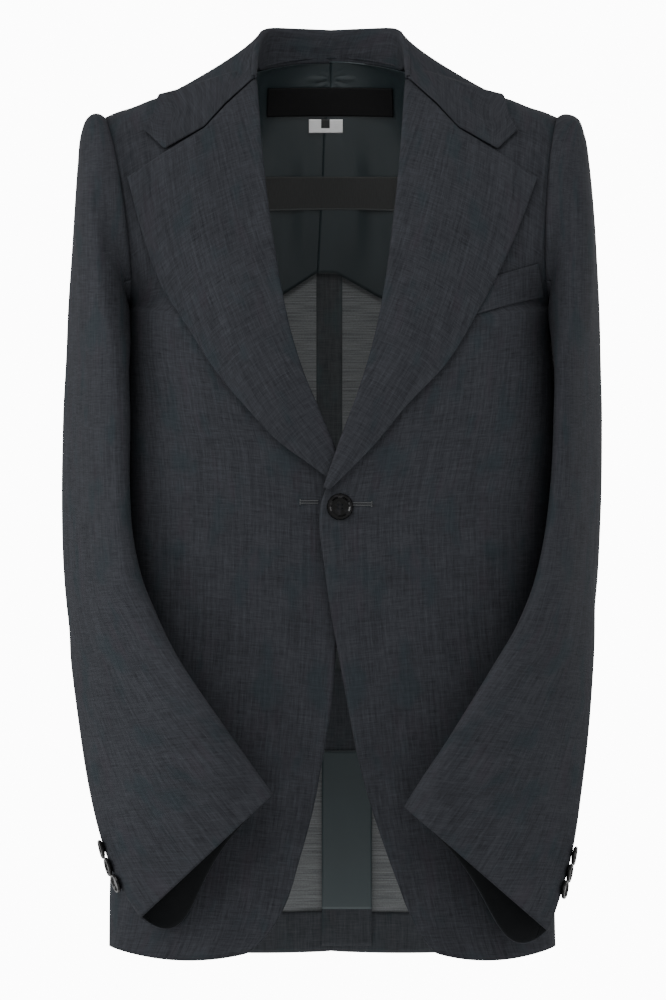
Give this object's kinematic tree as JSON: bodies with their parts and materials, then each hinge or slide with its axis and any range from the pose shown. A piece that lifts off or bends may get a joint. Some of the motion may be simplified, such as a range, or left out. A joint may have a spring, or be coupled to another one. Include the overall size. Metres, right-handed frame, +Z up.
{
  "type": "tailored jacket",
  "caption": "Charcoal tailored jacket with wide notch lapels, a buttoned front, a breast welt, roped sleeves, buttoned cuffs and a half-lined back with a centre vent.",
  "frame": {"origin": "in the middle between the shoulders, a little below the back neckline, where a hanger or a pair of shoulders holds the jacket", "axes": "+X to the wearer's left, +Y to the back, +Z up"},
  "size_m": [0.4073, 0.2513, 0.7013],
  "materials": {
    "suiting": "matte",
    "lining": "satin",
    "black_tape": "matte",
    "white_tag": "matte",
    "black_horn": "gloss"
  },
  "bodies": {
    "root": {"back_hem_left": "suiting", "back_hem_right": "suiting", "back_left": "suiting", "back_lining_left": "lining", "back_lining_right": "lining", "back_right": "suiting", "breast_welt": "suiting", "centre_seam_strip": "suiting", "collar": "suiting", "cuff_button_left_1": "black_horn", "cuff_button_left_2": "black_horn", "cuff_button_left_3": "black_horn", "cuff_button_right_1": "black_horn", "cuff_button_right_2": "black_horn", "cuff_button_right_3": "black_horn", "front_button": "black_horn", "front_left": "suiting", "front_right": "suiting", "inner_band": "black_tape", "lapel_left": "suiting", "lapel_right": "suiting", "neck_label": "black_tape", "size_tag": "white_tag", "sleeve_left_top": "suiting", "sleeve_left_under": "suiting", "sleeve_right_top": "suiting", "sleeve_right_under": "suiting", "vent_lining": "lining", "vent_underlap": "suiting"}
  },
  "joints": []
}
